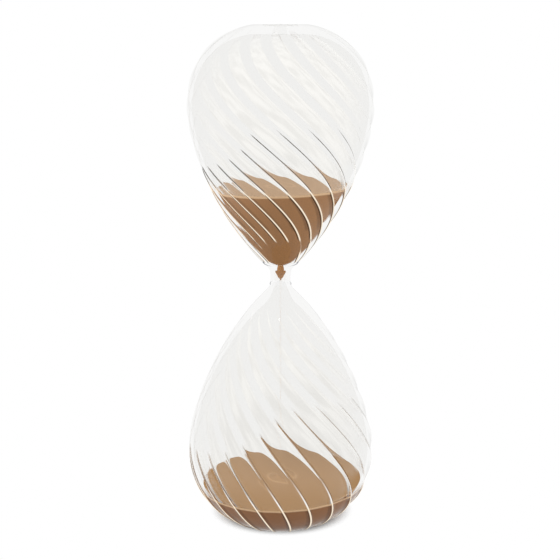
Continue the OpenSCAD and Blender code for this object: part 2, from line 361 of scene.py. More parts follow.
def inside_path(bulb, inset=0.0):
    """The smooth inside, from the mouth to the flat end. A negative inset lies in the glass."""
    outer = join(flank(bulb), shoulder(bulb))
    share = np.clip((np.arange(len(outer)) - outline_steps) / outline_steps, 0, 1)[:, None]
    neck = neck_wall * np.clip(1 - outer[:, 1:] / neck_run, 0, 1) ** 2
    wall = outer + inward(outer) * (crest_wall + (end_wall - crest_wall) * share + neck + inset)
    wall = wall[outer[:, 1] > bulb.mouth + bulb.mouth_run][:-1]
    start = np.array([bulb.bore - inset, bulb.mouth])
    pull = np.hypot(*(wall[0] - start)) / 3
    mouth = bezier([start, start + pull * mouth_dir, wall[0] - pull * cone_dir, wall[0]], 40)
    floor = np.array([[end_r, bulb.rise - end_wall - inset]])
    return np.vstack([mouth, wall[1:], floor])


for bulb in (upper, lower):
    print(bulb.name, "is", round(inside_path(bulb)[:, 0].max() * 2 / MM, 1), "mm wide inside")

# %% [markdown]
# ## Ribbed bulbs
# Each real bulb is a single blown piece, so each is one closed mesh here: the ribbed outside, the
# shallow hollow in its flat end, and the smooth inside. The upper bulb also has the hole that the
# sand was poured in by. Rims that are melted to a neighbour take a second material, because no
# surface is left there.

# %% Rings of the bulbs
outside_rings = 128
inside_rings = 64
inside_share = 4


def ribbed_rings(bulb):
    """Rings of the outside, from the mouth to the flat end."""
    path = join(waist_curve, flank(bulb), shoulder(bulb))
    mouth_r = np.interp(bulb.mouth, path[:, 1], path[:, 0])
    past_mouth = path[path[:, 1] > bulb.mouth + 1e-6]
    path = spaced(np.vstack([[mouth_r, bulb.mouth], past_mouth]), outside_rings)
    way = inward(path)
    way[[0, -1], 1] = 0
    cut = flute_depth(bulb, path)[:, None] * (1 - np.tile(crest_share, rib_count))
    r = path[:, :1] + way[:, :1] * cut
    s = path[:, 1:] + way[:, 1:] * cut
    columns = bulb.wandered(rib_columns)
    return [ring(r[n], bulb.height(s[n]), columns + bulb.turn(path[n, 1])) for n in range(outside_rings)]


def smooth_rings(bulb, path):
    """Rings of the smooth surfaces, which need fewer columns."""
    few = bulb.wandered(rib_columns[::inside_share])
    return [ring(r, bulb.height(s), (few if r > 1e-9 else few[:1]) + bulb.turn(s)) for r, s in path]


print("columns outside:", len(rib_columns), "and inside:", len(rib_columns) // inside_share)

# %% Build the ribbed bulbs
def ribbed_bulb(bulb):
    """One bulb as a closed mesh."""
    floor = bulb.rise - dimple_depth
    inner_end = bulb.rise - end_wall
    end = [(dimple_r, bulb.rise), (dimple_r, floor)]
    inner = spaced(inside_path(bulb), inside_rings)[::-1]
    if bulb is upper:
        hole = [(fill_hole_r, floor), (fill_hole_r, inner_end)]
        rings = ribbed_rings(bulb) + smooth_rings(bulb, [*end, *hole, *inner])
        hole_band = outside_rings + len(end)
        return new_piece(bulb.name + "_glass", rings, loop=True, fused=[hole_band, -1])
    closed_inside = smooth_rings(bulb, [(0, inner_end), *inner])
    rings = closed_inside + ribbed_rings(bulb) + smooth_rings(bulb, [*end, (0, floor)])
    return new_piece(bulb.name + "_glass", rings, fused=[inside_rings])


bulbs = {b.name: dress(ribbed_bulb(b), b.name) for b in (upper, lower)}

# %% [markdown]
# ## Throat tube
# The throat is a short thick tube with a small chamber in its bore. Below the chamber the bore
# narrows to the orifice that times the sand, and then it opens into the lower bulb. On the real
# glass this is the piece that the maker grinds until the timing is right, so its bore is drawn from
# its own named sizes and its outside follows the waist of the bulbs.

# %% Bore of the throat tube
chamber_r = 1.6 * MM
chamber_rise = 3.9 * MM
orifice_r = 0.6 * MM
orifice_drop = 1.0 * MM
bore_pull = 1.2 * MM
chamber_pull = 1.0 * MM
funnel_pull = 1.2 * MM
outlet_pull = 0.5 * MM
outlet_flare = 0.3 * MM
tube_top = upper_joint - weld_width / 2
tube_bottom = lower_joint - weld_width / 2

bore = bezier([(throat_r, tube_top), (throat_r, tube_top - bore_pull),
               (chamber_r, chamber_rise + chamber_pull), (chamber_r, chamber_rise)], 16)
funnel = bezier([(chamber_r, chamber_rise), (chamber_r, chamber_rise - funnel_pull),
                 (orifice_r, funnel_pull), (orifice_r, -orifice_drop)], 20)
outlet = bezier([(orifice_r, -orifice_drop), (orifice_r, -orifice_drop - outlet_pull),
                 (outlet_r, -tube_bottom + outlet_flare), (outlet_r, -tube_bottom)], 10)
print("orifice:", round(2 * orifice_r / MM, 2), "mm wide")

# %% Throat tube
throat_columns = 128
tube_steps = 48


def outside_r(rise):
    """Radius of the outside near the waist, above it or below it."""
    outer = join(waist_curve, flank(upper))
    return np.interp(np.abs(rise), outer[:, 1], outer[:, 0])


outer_rises = np.linspace(-tube_bottom, tube_top, tube_steps)
tube_outside = np.stack([outside_r(outer_rises), outer_rises], 1)
tube_path = np.vstack([tube_outside, join(bore, funnel, outlet)])
tube_ends = [tube_steps - 1, -1]
tube = turned("throat_tube_glass", tube_path, throat_columns, loop=True, fused=tube_ends)
dress(tube, "throat_tube")

# %% [markdown]
# ## Welds
# Each bulb is melted to the tube in a flame, which leaves a narrow ring of glass that stands a
# little proud. A torus would give a round bead but no glass under it, so each weld is a turned ring
# with a bead on its outside and the bore through its middle.

# %% Welds
bead_steps = 12


def weld(name, bulb, joint, bore_r):
    """A ring of glass between the tube and one bulb. Its flat ends and its bore are melted in."""
    angle = np.linspace(0, np.pi, bead_steps + 1)
    rise = joint - np.cos(angle) * weld_width / 2
    bead = np.stack([outside_r(rise) + weld_proud * np.sin(angle) ** 2, rise], 1)
    path = np.vstack([[(bore_r, rise[0])], bead, [(bore_r, rise[-1])]])
    melted = [0, bead_steps + 1, bead_steps + 2]
    piece = turned(name + "_glass", path, throat_columns, bulb.up, loop=True, fused=melted)
    return dress(piece, name)


welds = [weld("lower_weld", lower, lower_joint, outlet_r),
         weld("upper_weld", upper, upper_joint, upper.bore)]

# %% [markdown]
# ## Fill seal
# The sand is poured in through a hole in the flat end of the upper bulb, and the hole is closed
# with a drop of glass. The seal is a stem in the hole under a low round button. It is one turned
# path, because a drop of glass is round about its own axis.

# %% Fill seal
seal_gap = 0.05 * MM
seal_lift = 0.01 * MM
button_r = 5.6 * MM
button_height = 0.6 * MM
stem_r = fill_hole_r - seal_gap

hollow_rise = upper_rise - dimple_depth
arc = np.linspace(0, np.pi / 2, 16)
button_base = hollow_rise + seal_lift
button = np.stack([button_r * np.cos(arc), button_base + button_height * np.sin(arc)], 1)
button[-1, 0] = 0
stem_end = upper_rise - end_wall
stem = [(0, stem_end), (stem_r, stem_end), (stem_r, button_base)]
seal = turned("fill_seal_glass", np.vstack([stem, button]), columns=96)
dress(seal, "fill_seal")

# %% [markdown]
# ## Sand in the bulbs
# Loose sand fills the low end of each bulb up to a surface. The upper surface is nearly flat and
# leans a little. The lower one leans too, and carries a low heap under the falling grains. Sand is
# drawn as one closed body, since grains by the million would look the same through the glass. It
# reaches a hair into the wall, because sand that lies against glass has no air between that light
# could see.

# %% Sizes of the sand
contact = 0.03 * MM
upper_sand_rise = 43.7 * MM
upper_sand_slope = math.tan(math.radians(2.1))
lower_sand_top = 21.5 * MM
lower_sand_slope = math.tan(math.radians(1.8))
heap_r = 7 * MM
heap_h = 2.4 * MM
print("the lower sand is", round(lower_sand_top / MM, 1), "mm deep at its middle")

# %% Sand body
sand_columns = 288
sand_rings = 60
widest_guess = 30 * MM


def sand_in(name, bulb, level_of, top_of):
    """Sand that fills a bulb from its low end to a surface. level_of gives the rise of the surface
    at the wall for each direction, and top_of the height of the surface over a point."""
    a = np.linspace(0, 2 * np.pi, sand_columns, endpoint=False)
    wall = inside_path(bulb, -contact)
    order = np.argsort(wall[:, 1])
    wall_r, wall_s = wall[order, 0], wall[order, 1]
    low = bulb.mouth if bulb is upper else wall_s[-1]
    level = np.zeros(sand_columns)
    r_level = np.full(sand_columns, widest_guess)
    for _ in range(12):
        level = level_of(r_level, a)
        r_level = np.interp(level, wall_s, wall_r)
    rings = [ring(0, bulb.height(low), a[:1])]
    for k in np.linspace(0, 1, sand_rings):
        s = low + (level - low) * k
        rings.append(ring(np.interp(s, wall_s, wall_r), bulb.height(s), a))
    for k in np.linspace(1, 0, sand_rings + 1)[1:]:
        x, y = r_level * k * np.cos(a), r_level * k * np.sin(a)
        points = np.stack([x, y, top_of(x, y)], 1)
        rings.append(points if k > 0 else points[:1])
    return new_piece(name, rings)


# %% Surfaces of the sand
def upper_level(r, a):
    return upper_sand_rise + upper_sand_slope * r * np.cos(a)


def upper_top(x, y):
    return waist_z + upper_sand_rise + upper_sand_slope * x


def lower_level(r, a):
    return lower_rise - lower_sand_top - lower_sand_slope * r * np.cos(a)


def lower_top(x, y):
    heap = heap_h * np.clip(1 - np.hypot(x, y) / heap_r, 0, 1)
    return lower_sand_top + lower_sand_slope * x + heap


sands = {"upper_sand": sand_in("upper_sand_fill", upper, upper_level, upper_top),
         "lower_sand": sand_in("lower_sand_fill", lower, lower_level, lower_top)}

# %% [markdown]
# ## Sand in the throat
# Sand stands in the chamber of the tube as a small diamond and leaves it in a point. It is the bore
# of the tube filled up, so it is turned from the same curves. Where the bore narrows, the sand
# draws away from the glass and runs to a thin tip.

# %% Chamber sand
wall_steps = 14
tip_r = 0.25 * MM
tip_bend = (0.3 * MM, -0.4 * MM)

leaves_wall = funnel[wall_steps] + [contact, 0]
tip = bezier([leaves_wall, funnel[wall_steps + 3], tip_bend, (tip_r, -orifice_drop)], 8)
chamber_wall = join(bore, funnel[:wall_steps + 1]) + [contact, 0]
mouth_edge = [(0, upper.mouth), (upper.bore + contact, upper.mouth)]
chamber_path = np.vstack([mouth_edge, chamber_wall, tip, [(0, -orifice_drop)]])
sands["chamber_sand"] = turned("chamber_sand_fill", chamber_path, columns=64)

# %% [markdown]
# ## Falling grains
# A thin thread of grains falls from the orifice to the heap. A particle system would draw it too,
# but its grains are instances that are hard to export, so the thread is one mesh of small grains
# with eight sides each. They are scattered with a fixed seed, so every run gives the same thread.

# %% Falling grains
grain_count = 320
grain_r = 0.11 * MM
grain_sizes = (0.7, 1.2)
thread_r = 0.4 * MM
grain_corners = np.array([(0, 0, 1), (1, 0, 0), (0, 1, 0), (-1, 0, 0), (0, -1, 0), (0, 0, -1)], float)
grain_sides = [(0, 1, 2), (0, 2, 3), (0, 3, 4), (0, 4, 1), (5, 2, 1), (5, 3, 2), (5, 4, 3), (5, 1, 4)]


def grain_thread(name):
    """One mesh of many small grains, scattered along the axis from the orifice to the heap."""
    rng = np.random.default_rng(7)
    points, faces = [], []
    high, low = waist_z - orifice_drop, base_z + lower_sand_top + heap_h
    for n in range(grain_count):
        height = low + (high - low) * (n + rng.random()) / grain_count
        angle = rng.random() * 2 * np.pi
        out = thread_r * math.sqrt(rng.random())
        middle = np.array([out * math.cos(angle), out * math.sin(angle), height])
        start = len(grain_corners) * n
        points.append(middle + grain_corners * grain_r * rng.uniform(*grain_sizes))
        faces += [tuple(start + k for k in side) for side in grain_sides]
    return link_mesh(name, np.vstack(points), faces)


sands["falling_sand"] = grain_thread("falling_grains")
for node, piece in sands.items():
    dress(piece, node)
print("pieces of sand:", len(sands))

# %% [markdown]
# ## Shader maths
# Glass and sand look as they do because of where a point lies: on a crest, near the rim of the sand,
# at the edge of the outline. Those rules are short sums, and a sum drawn as a net of Math nodes is
# hard to read. So one small class wraps a node's socket, and Python's own signs and a few words
# add the Math nodes.

# %% A socket that can be used in sums
class Sock:
    """A node socket that can be used in Python expressions."""

    def __init__(self, socket, tree):
        self.socket, self.tree = socket, tree

    def sum(self, operation, *values):
        inputs = dict(enumerate(values))
        return add_node(self.tree, "ShaderNodeMath", {"operation": operation}, inputs)

    def between(self, low, high, falling=False):
        """Smooth step from 0 at low to 1 at high, or from 1 to 0 when falling."""
        ends = (1, 0) if falling else (0, 1)
        places = ("Value", "From Min", "From Max", "To Min", "To Max")
        inputs = dict(zip(places, (self, low, high, *ends)))
        return add_node(self.tree, "ShaderNodeMapRange", {"interpolation_type": "SMOOTHSTEP"}, inputs)


signs = {"add": "ADD", "sub": "SUBTRACT", "mul": "MULTIPLY", "truediv": "DIVIDE", "pow": "POWER"}
for sign, operation in signs.items():
    setattr(Sock, f"__{sign}__", lambda self, other, op=operation: self.sum(op, self, other))
    setattr(Sock, f"__r{sign}__", lambda self, other, op=operation: self.sum(op, other, self))
words = {"__gt__": "GREATER_THAN", "maximum": "MAXIMUM", "minimum": "MINIMUM", "arctan2": "ARCTAN2",
         "cosine": "COSINE", "fraction": "FRACT", "size": "ABSOLUTE"}
for word, operation in words.items():
    setattr(Sock, word, lambda self, *others, op=operation: self.sum(op, self, *others))
print("signs and words that add a Math node:", len(signs) + len(words))


def put(tree, socket, value):
    """Link a socket, or set its value."""
    if isinstance(value, Sock):
        tree.links.new(value.socket, socket)
    elif hasattr(socket.default_value, "__len__"):
        size = len(socket.default_value)
        value = tuple(value) if hasattr(value, "__len__") else (value,) * size
        socket.default_value = (value + (1.0,) * size)[:size]
    else:
        socket.default_value = value


def add_node(tree, kind, settings, inputs, output=0):
    """A node from its type, its settings, and the values or links of its sockets."""
    node = tree.nodes.new(kind)
    for key, value in settings.items():
        setattr(node, key, value)
    for key, value in inputs.items():
        put(tree, node.inputs[key], value)
    return Sock(node.outputs[output], tree)


# %% [markdown]
# ## Nodes
# Every node comes from one function, which takes its type, its settings and its inputs. Short
# methods stand on it for the nodes used often. Where a tint of clear glass changes from place to
# place, two surfaces of one tint each are blended, because the factor of a blend can be baked.

# %% Add nodes by name
class Shader:
    """The nodes of a new material, or of the world."""

    def __init__(self, owner):
        owner.use_nodes = True
        self.owner = owner
        self.tree = owner.node_tree
        self.tree.nodes.clear()

    def node(self, kind, settings=None, inputs=None, output=0):
        return add_node(self.tree, kind, settings or {}, inputs or {}, output)

    def mix(self, factor, a, b):
        """A colour between two colours."""
        return self.node("ShaderNodeMix", {"data_type": "RGBA"}, {0: factor, 6: a, 7: b}, output=2)

    def scale(self, colour, factor):
        """A colour made lighter or darker."""
        return self.node("ShaderNodeVectorMath", {"operation": "SCALE"}, {0: colour, "Scale": factor})

    def blend(self, factor, a, b):
        """A surface between two surfaces."""
        return self.node("ShaderNodeMixShader", inputs={0: factor, 1: a, 2: b})

    def clear(self, colour):
        """A surface that light goes straight through, tinted by a colour."""
        return self.node("ShaderNodeBsdfTransparent", inputs={"Color": colour})

    def glow(self, colour, strength=1.0):
        """A surface that gives off light of its own."""
        return self.node("ShaderNodeEmission", inputs={"Color": colour, "Strength": strength})

    def ray(self, kind):
        """What the ray that meets the surface is, or has been through."""
        return self.node("ShaderNodeLightPath", output=kind)

    def facing_away(self):
        """0 where the surface faces the eye and 1 where it turns away at the outline."""
        return self.node("ShaderNodeLayerWeight", inputs={"Blend": 0.5}, output="Facing")

    def axis(self, name, vector=None):
        """One coordinate of a vector, or of the place on the object."""
        vector = vector or self.node("ShaderNodeTexCoord", output="Object")
        return self.node("ShaderNodeSeparateXYZ", inputs={0: vector}, output=name)

    def finish(self, surface, kind="ShaderNodeOutputMaterial"):
        out = self.tree.nodes.new(kind)
        self.tree.links.new(surface.socket, out.inputs["Surface"])
        print(self.owner.name, "takes", len(self.tree.nodes), "nodes")
        return self.owner


# %% [markdown]
# ## Place among the ribs
# The finish of the glass and of the sand has to know how far a point is from the nearest crest. It
# could come from a painted texture, but the ribs follow one sum, so the shader turns each point
# back by the twist and works out its distance along the wall. The ribs wander from even spacing, so
# the even place is found in three tries, each a better guess than the last.

# %% Distance from the nearest crest
wander_tries = 3


def rib_place(sh, bulb):
    """Sockets for the distance from the nearest crest and the distance from the axis."""
    x, y, z = (sh.axis(name) for name in "XYZ")
    radius = (x * x + y * y) ** 0.5
    rise = (z - waist_z) * bulb.up
    near, far = (math.radians(degrees) / MM for degrees in bulb.twist)
    power = bulb.fade + 1
    fading = (rise / bulb.rise).maximum(0) ** power * ((near - far) * bulb.rise / power)
    turn = (rise * near - fading) * bulb.hand + (math.radians(bulb.rib_angle) - math.pi / 2)
    angle = y.arctan2(x) - turn
    even = angle
    for _ in range(wander_tries):
        even = angle - (1 - (even - bulb.true_rib).cosine()) * bulb.wander
    return ((even / rib_pitch + 0.5).fraction() - 0.5) * rib_pitch * radius, radius


upper.rim_z, upper.rim_slope = waist_z + upper_sand_rise, upper_sand_slope
lower.rim_z, lower.rim_slope = base_z + lower_sand_top, lower_sand_slope
print("heights of the sand, mm:", [round((b.rim_z - base_z) / MM, 1) for b in (upper, lower)])

# %% [markdown]
# ## Rays and the glass
# Light bends at each surface of a real bulb, four times on its way through, and the far wall has
# ribs too. Bent every time, the ribs behind would break those in front up into noise. So each finish
# asks what the ray has met already. Ribs are marked and light is bent at the first wall, and rays
# that only carry shadow or soft light go straight through.

# %% What a ray has met
class Hit:
    """Where a ray meets the glass and what it has been through, as sockets. In tall, heights over the
    rim of the sand count for more towards -X, where the marks end lower."""

    def __init__(self, sh, bulb=None):
        bent = sh.ray("Transmission Depth")
        bent_once = bent > 0.5
        passed_once = sh.ray("Transparent Depth") > 0.5
        straight = passed_once * (1 - bent_once)
        self.first = (1 - bent_once) * (1 - passed_once)
        self.plain = sh.ray("Is Shadow Ray").maximum(sh.ray("Is Diffuse Ray")).maximum(straight)
        self.edge = sh.facing_away()
        self.height = sh.axis("Z")
        if bulb:
            self.plain = self.plain.maximum(bent > 1.5)
            self.side, self.radius = rib_place(sh, bulb)
            shorter = (sh.axis("X") + bulb.short_from).minimum(0) * (-bulb.short_by) + 1
            self.tall = (self.height - bulb.rim_z) * shorter + bulb.rim_z


upper.short_from, upper.short_by = 12 * MM, 0.075 / MM
lower.short_from, lower.short_by = 0, 0.03 / MM
print("a height counts", round(1 + (30 * MM - upper.short_from) * upper.short_by, 2), "times at -30 mm")

# %% [markdown]
# ## Marks along the ribs
# Each crest is a narrow prism. Over the sand it gathers light into a thin pale line, with a dark
# band beside it, where the eye's ray is bent off to the side. The band changes sides at the rim of
# the sand, where the sand gives way to the room behind, and both marks end in points above it.
# Bending alone could give them, but only with a far finer mesh, so sums on the place draw them.

# %% Where the ribs are marked
ribs_from_r = (19 * MM, 20.5 * MM)
edge_ribs_from_r = (9 * MM, 10 * MM)
edge_ribs_turn = (0.5, 0.55)
foot_start, foot_end = 1 * MM, 7 * MM


def rib_zone(hit):
    """Where the ribs are marked: the wide part, and towards the mouth only near the outline."""
    near_outline = hit.radius.between(*edge_ribs_from_r) * hit.edge.between(*edge_ribs_turn)
    ribbed = hit.radius.between(*ribs_from_r).maximum(near_outline)
    return ribbed * hit.first * hit.height.between(base_z + foot_start, base_z + foot_end)


print("ribs are marked from", round(ribs_from_r[0] / MM), "mm off the axis")

# %% The pale line and the dark band
crest_line = 0.5 * MM
line_lift = 2 * MM
band_offset = 0.7 * MM
band_swap = 1.35 * MM
swap_start, swap_end = -1 * MM, 3 * MM
band_half = 0.25 * MM
band_thinning = 0.1 * MM
thinning_run = 18 * MM
point_run = 6 * MM
upper.line_run, lower.line_run = 18 * MM, 20 * MM
upper.spike_run, lower.spike_run = 31 * MM, 48 * MM


def pale_line(bulb, hit):
    """1 along the crests and 0 off them."""
    line = hit.side.size().between(crest_line / 2, crest_line, falling=True)
    rim = bulb.rim_z
    return line * rib_zone(hit) * hit.tall.between(rim + line_lift, rim + bulb.line_run, falling=True)


def dark_mark(bulb, hit):
    """1 along the dark band beside each crest and 0 off it."""
    rim = bulb.rim_z
    half = band_half - hit.height.between(rim, rim + thinning_run) * band_thinning
    swap = hit.height.between(rim + swap_start, rim + swap_end)
    off_middle = (hit.side + band_offset - swap * band_swap).size()
    end = rim + bulb.spike_run
    band_there = (off_middle / half).between(1, 2, falling=True)
    return band_there * rib_zone(hit) * hit.tall.between(end - point_run, end, falling=True)


print("dark band:", round(2 * band_half / MM, 2), "mm wide at most")

# %% [markdown]
# ## Light gathered by a crest
# The pale line is the light of the room, gathered by the crest. It is warm where it lies over the
# sand, white above the rim, and dim at the foot, where the thick glass of the flat end takes most
# of it. A plain glow gives it, blended from three constant glows by height.

# %% Glow of the pale line
warm_glow = (1.0, 0.87, 0.69)
white_glow = (0.97, 0.95, 0.92)
foot_glow = (0.36, 0.3, 0.24)
warm_fade = 4 * MM
glow_start, glow_end = 2 * MM, 12 * MM


def gathered_light(sh, bulb, hit):
    """The surface of the pale lines."""
    above_rim = hit.height.between(bulb.rim_z, bulb.rim_z + warm_fade)
    over_sand = sh.blend(above_rim, sh.glow(warm_glow), sh.glow(white_glow))
    above_foot = hit.height.between(base_z + glow_start, base_z + glow_end)
    return sh.blend(above_foot, sh.glow(foot_glow), over_sand)


print("the glow is white from", round(warm_fade / MM), "mm above the sand")

# %% [markdown]
# ## Where the glass stays calm
# In many places real glass looks simply clear, and the bent room would only bring noise there. So
# four zones let light straight through at the first wall: the thick glass of the flanks near the
# waist, a strip beside each crest where its marks have ended, the wall well above the sand as it
# turns away, and the outline from the rim of the sand up.

# %% Straight zones of a ribbed bulb
mouth_r, mouth_edge_r, mouth_far_r = 8 * MM, 11 * MM, 20 * MM
mouth_share = 0.1
flank_turn = (0.6, 0.67)
flank_reach = (40 * MM, 52 * MM)
spent_offset = 0.4 * MM
spent_half = (2.0 * MM, 2.6 * MM)
spent_fade = 8 * MM
calm_start, calm_end = 8 * MM, 30 * MM
calm_turn = (0.15, 0.55)
outline_start, outline_end = -2 * MM, 6 * MM
outline_turn = (0.4, 0.6)
upper.spent_run, lower.spent_run = 9 * MM, 42 * MM
upper.calm, lower.calm = 0.75, 0.65


def straight_flank(hit):
    """The steep thick glass near the waist."""
    to_mouth = hit.radius.between(mouth_r, mouth_far_r, falling=True)
    to_mouth = to_mouth + hit.radius.between(mouth_r, mouth_edge_r, falling=True)
    turned_away = (hit.edge + to_mouth * mouth_share).between(*flank_turn)
    return turned_away * (hit.height - waist_z).size().between(*flank_reach, falling=True)


def straight_zone(bulb, hit):
    """1 where light goes straight through a ribbed bulb."""
    rim = bulb.rim_z
    spent_from = rim + bulb.spent_run
    spent = (hit.side - spent_offset).size().between(*spent_half, falling=True)
    spent = spent * hit.tall.between(spent_from, spent_from + spent_fade)
    calm = hit.height.between(rim + calm_start, rim + calm_end) * hit.edge.between(*calm_turn)
    outline = hit.height.between(rim + outline_start, rim + outline_end)
    outline = outline * hit.edge.between(*outline_turn)
    return straight_flank(hit).maximum(spent).maximum(calm * bulb.calm).maximum(outline)


print("marks end", [round(b.spent_run / MM) for b in (upper, lower)], "mm above the sand")

# %% [markdown]
# ## Ribbed glass
# The glass of the bulbs is colourless and polished by the flame. Principled with full transmission
# and no roughness gives it, with a faint warm tint. The outline of real glass is a little grey,
# since there the eye looks along the wall, so a painted shade greys the clear surface as it turns
# away.

# %% Tints of the glass
glass_tint = (0.985, 0.982, 0.976)
clear_tint = (0.966, 0.965, 0.961)
rim_tint = (0.86, 0.86, 0.855)
rim_turn = (0.75, 1.0)
glass_bend = 1.5
# The dark band tints are painted shade beside each crest.
upper.dark_band = (0.09, 0.07, 0.05)
lower.dark_band = (0.4, 0.34, 0.27)


def glass_body(sh, hit, tint, clear, straight):
    """Polished glass that lets light straight through where straight is 1."""
    glass = sh.node("ShaderNodeBsdfPrincipled", inputs={
        "Base Color": tint, "Roughness": 0.0, "IOR": glass_bend, "Transmission Weight": 1.0})
    return sh.blend(straight * hit.first, glass, clear)


def ribbed_glass(bulb):
    """The finish of one bulb."""
    sh = Shader(bpy.data.materials.new(bulb.name + "_glass"))
    hit = Hit(sh, bulb)
    dark = dark_mark(bulb, hit)
    at_outline = hit.edge.between(*rim_turn) * hit.first
    clear = sh.blend(at_outline, sh.clear(clear_tint), sh.clear(rim_tint))
    clear = sh.blend(dark, clear, sh.clear(bulb.dark_band))
    tint = sh.mix(dark, glass_tint, bulb.dark_band)
    body = glass_body(sh, hit, tint, clear, straight_zone(bulb, hit))
    body = sh.blend(pale_line(bulb, hit), body, gathered_light(sh, bulb, hit))
    return sh.finish(sh.blend(hit.plain, body, clear))


print("light left after eight walls:", round(clear_tint[0] ** 8, 2))

# %% [markdown]
# ## Glass of the throat
# The throat is plain glass with no ribs. Seen at a slant it lets the room through, and below the
# waist it is thin enough to look clear. Where two pieces are melted together no surface is left, so
# the rims there take a finish that hardly shows. The welds and the seal are small solid drops of
# glass, clear in the middle and dark at their rims. Bending glass this small only makes noise, so
# they are two clear tints blended by how far the surface turns away, and the dark rim tint is
# painted shade in place of that bending.

# %% Finishes of the throat
clear_drop = (0.5 * MM, 0.1 * MM)
slant_run = 6 * MM
slant_share = 0.12
slant_turn = (0.2, 0.24)


def throat_glass(name):
    """Plain glass for the tube."""
    sh = Shader(bpy.data.materials.new(name))
    hit = Hit(sh)
    low = hit.height.between(waist_z - clear_drop[0], waist_z - clear_drop[1], falling=True)
    slant = hit.edge - hit.height.between(waist_z, waist_z + slant_run) * slant_share
    clear = sh.clear(clear_tint)
    body = glass_body(sh, hit, glass_tint, clear, slant.between(*slant_turn).maximum(low))
    return sh.finish(sh.blend(hit.plain, body, clear))


def drop_glass(name, turn, middle, rim):
    """Clear glass whose tint changes towards its outline, where the rim tint is painted shade."""
    sh = Shader(bpy.data.materials.new(name))
    at_rim = sh.facing_away().between(*turn)
    return sh.finish(sh.blend(at_rim, sh.clear(middle), sh.clear(rim)))


def melted(name):
    """The finish of a rim that is melted to its neighbour."""
    sh = Shader(bpy.data.materials.new(name))
    return sh.finish(sh.clear((0.992, 0.992, 0.992)))


# %% Put the glass on its pieces
joint = melted("fused_joint")
clear_glass = throat_glass("clear_glass")
# The dark rim tints of the welds and the seal are painted shade in place of bending.
weld_glass = drop_glass("weld_glass", (0.6, 0.85), (0.985, 0.985, 0.985), (0.14, 0.15, 0.18))
seal_glass = drop_glass("seal_glass", (0.9, 1.0), (0.99, 0.99, 0.988), (0.8, 0.8, 0.795))
for bulb in (upper, lower):
    bulbs[bulb.name].data.materials.append(ribbed_glass(bulb))
    bulbs[bulb.name].data.materials.append(joint)
for piece in [tube, *welds]:
    piece.data.materials.append(weld_glass if piece in welds else clear_glass)
    piece.data.materials.append(joint)
seal.data.materials.append(seal_glass)

# %% [markdown]
# ## Sand
# The sand is fine, dry and a warm brown. Its top and its side against the glass are lit and shaded
# copies of one colour, paler on top: painted light on the top and painted shade on the side. Against
# the wall it has painted shade along each crest and towards the foot, and a bright hem of painted
# light at the rim stands for the light that creeps in there. A faint pale ring of painted light
# circles the heap. Two sizes of noise give it grains and soft clumps. Grains in the mesh would be
# too small to see, and a bump would sparkle, so the noise goes into the colour only.

# %% Sizes and colours of the sand
# Lit and shaded copies of one sand colour: painted light on top, painted shade against the glass.
upper.sand_side, upper.sand_top = (0.486, 0.241, 0.1), (0.42, 0.28, 0.172)
lower.sand_side, lower.sand_top = (0.375, 0.165, 0.065), (0.374, 0.218, 0.1)
# Painted light: the bright hem at the rim of the sand and a faint pale ring round the heap.
hem_light_colour = (1.0, 0.68, 0.4)
top_turn = (0.5, 0.8)
# Painted shade on the sand against the wall: along each crest and towards the foot.
crest_shade = (0.5 * MM, 1.6 * MM)
shade_from_r = (19 * MM, 21 * MM)
shade_share = 0.3
foot_shade = 0.4
shade_start, shade_end = 3 * MM, 13 * MM
hem_drop = (0.7 * MM, 1.3 * MM)
hem_share = 0.88
heap_ring_half = (0.3 * MM, 1.5 * MM)
heap_ring_light_share = 0.12
grain_scale, clump_scale = 2600.0, 160.0


def wall_shade(bulb, side, radius, height):
    """Painted shade of the sand against the glass: darker along each crest and towards the foot."""
    dark = side.size().between(*crest_shade, falling=True)
    shade = 1 - dark * radius.between(*shade_from_r) * shade_share
    above_foot = height.between(base_z + shade_start, base_z + shade_end)
    return shade * ((1 - foot_shade) + foot_shade * above_foot)


def grain_tone(sh):
    """Lightness of the grains and clumps, about 1."""
    grain = sh.node("ShaderNodeTexNoise", inputs={"Scale": grain_scale, "Detail": 3.0})
    clump = sh.node("ShaderNodeTexNoise", inputs={"Scale": clump_scale, "Detail": 4.0})
    return grain.between(0.2, 0.8) * 0.24 + clump.between(0.25, 0.75) * 0.16 + 0.8


print("bright hem of the sand:", round(hem_drop[0] / MM, 1), "mm high")

# %% Put the sand on its pieces
def sand_finish(name, bulb):
    """The finish of one piece of sand, with its painted light and shade."""
    sh = Shader(bpy.data.materials.new(name))
    normal = sh.node("ShaderNodeNewGeometry", output="Normal")
    top = sh.axis("Z", normal).between(*top_turn)
    side, radius = rib_place(sh, bulb)
    height = sh.axis("Z")
    shaded_wall_colour = sh.scale(bulb.sand_side, wall_shade(bulb, side, radius, height))
    # The hem at the rim and the ring round the heap are painted light.
    below_rim = sh.axis("X") * bulb.rim_slope + bulb.rim_z - height
    hem = below_rim.between(*hem_drop, falling=True) * (1 - top)
    heap_ring_light = (radius - heap_r).size().between(*heap_ring_half, falling=True) * top
    colour = sh.mix(top, shaded_wall_colour, bulb.sand_top)
    colour = sh.mix(heap_ring_light * heap_ring_light_share + hem * hem_share, colour, hem_light_colour)
    return sh.finish(sh.node("ShaderNodeBsdfPrincipled", inputs={
        "Base Color": sh.scale(colour, grain_tone(sh)), "Roughness": 0.9, "Specular IOR Level": 0.2}))


for node, piece in sands.items():
    of_bulb = upper if node in ("upper_sand", "chamber_sand") else lower
    piece.data.materials.append(sand_finish(node, of_bulb))

# %% [markdown]
# ## Room
# Glass shows what is around it, so the room matters as much as the glass. The eye sees plain white
# behind the hourglass. Rays that the glass bends or mirrors see a room that is paler high up and
# darker low down, with faint soft patches, which give the ribs something to bend. Everything else
# is lit by an even, dimmer room, so that the sand keeps its colour.

